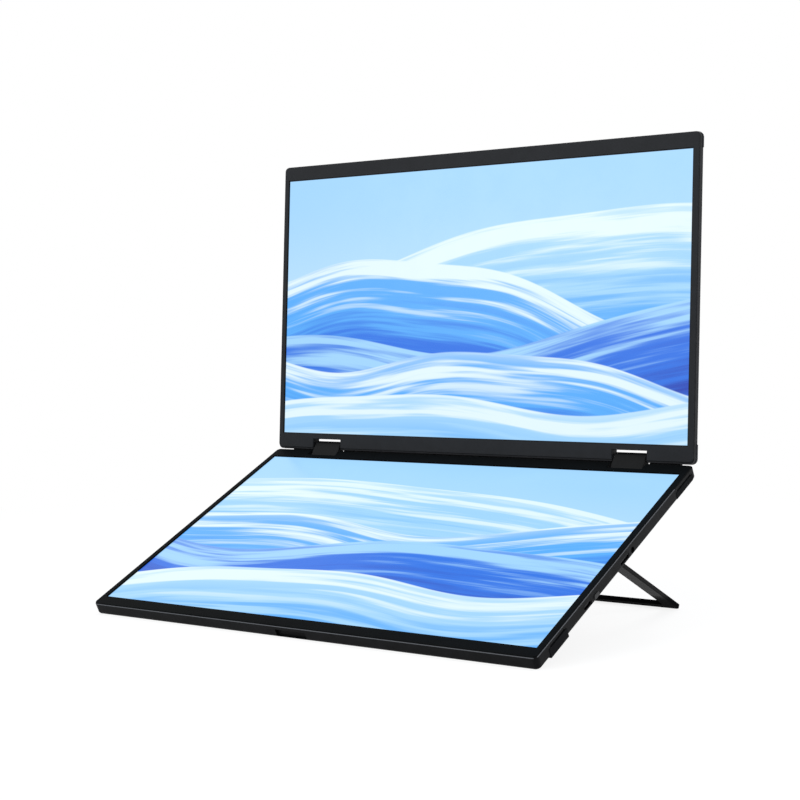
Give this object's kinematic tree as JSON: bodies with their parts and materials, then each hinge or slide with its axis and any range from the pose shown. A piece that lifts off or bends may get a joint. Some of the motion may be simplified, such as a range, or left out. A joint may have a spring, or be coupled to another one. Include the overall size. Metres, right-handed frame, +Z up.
{
  "type": "folding portable monitor",
  "caption": "Portable monitor with an upper and a lower display panel that fold together on geared hinges, with a fold-out U-shaped stand under the lower panel",
  "frame": {"origin": "middle of the footprint on the table, between the front edge of the base and the back of the stand", "axes": "+X to the user's right along the hinges, -Y towards the user, +Z up"},
  "size_m": [0.3548, 0.219, 0.3159],
  "materials": {
    "casing": "black anodised",
    "bezel": "fine satin",
    "display": "smooth, lit",
    "lcd_module": "laminated",
    "rubber": "matte",
    "steel": "ground",
    "black_steel": "blackened",
    "hinge_block": "black, satin",
    "stand": "black anodised",
    "circuit_board": "solder mask",
    "black_plastic": "moulded",
    "socket_shell": "drawn"
  },
  "bodies": {
    "base": {"base_rear_cover": "casing", "base_front_bezel": "bezel", "base_screen": "display", "base_lcd_module": "lcd_module", "base_cover_screws": "black_steel", "base_hinge_brackets": "steel", "base_friction_sleeves": "steel", "base_hinge_shafts": "steel", "base_feet": "rubber", "main_board": "circuit_board", "board_chips": "black_plastic", "speakers": "black_plastic", "usb_c_socket": "socket_shell", "mini_hdmi_socket": "socket_shell", "headphone_socket": "black_plastic", "button_switch": "black_plastic", "stand_hinge_pins": "steel"},
    "hinge_blocks": {"hinge_block_left": "hinge_block", "hinge_block_right": "hinge_block", "hinge_end_plates": "hinge_block"},
    "lower_idlers": {"lower_idler_gears": "steel"},
    "upper_idlers": {"upper_idler_gears": "steel"},
    "lid": {"lid_rear_cover": "casing", "lid_front_bezel": "bezel", "lid_screen": "display", "lid_lcd_module": "lcd_module", "lid_cover_screws": "black_steel", "lid_hinge_brackets": "steel", "lid_friction_sleeves": "steel", "lid_hinge_shafts": "steel", "lid_driver_board": "circuit_board", "lid_corner_pads": "rubber"},
    "stand": {"stand_frame": "stand", "stand_foot_strip": "rubber"},
    "button": {"power_button": "black_plastic"}
  },
  "joints": [
    {"name": "block_turn", "type": "hinge", "parent": "base", "child": "hinge_blocks", "pos_m": [0, 0.08345, 0.09446], "axis": [-1, 0, 0], "range_deg": [-59.5, 30.5]},
    {"name": "lid_turn", "type": "hinge", "parent": "hinge_blocks", "child": "lid", "pos_m": [0, 0.08884, 0.1024], "axis": [-1, 0, 0], "range_deg": [-59.5, 30.5]},
    {"name": "lower_idler_turn", "type": "hinge", "parent": "hinge_blocks", "child": "lower_idlers", "pos_m": [0, 0.08525, 0.09711], "axis": [-1, 0, 0], "range_deg": [-59.5, 30.5]},
    {"name": "upper_idler_turn", "type": "hinge", "parent": "hinge_blocks", "child": "upper_idlers", "pos_m": [0, 0.08704, 0.09975], "axis": [-1, 0, 0], "range_deg": [-30.5, 59.5]},
    {"name": "stand_fold", "type": "hinge", "parent": "base", "child": "stand", "pos_m": [0, 0.00336, 0.0534], "axis": [-1, 0, 0], "range_deg": [0, 128.32]},
    {"name": "button_press", "type": "slide", "parent": "base", "child": "button", "axis": [-1, 0, 0], "range_m": [0, 0.0006], "stiffness_N_per_m": 2000, "springref_m": -0.0002}
  ],
  "couplings": [
    {"joint": "block_turn", "follows": "lid_turn", "ratio": 1},
    {"joint": "lower_idler_turn", "follows": "lid_turn", "ratio": 1},
    {"joint": "upper_idler_turn", "follows": "lid_turn", "ratio": -1}
  ]
}
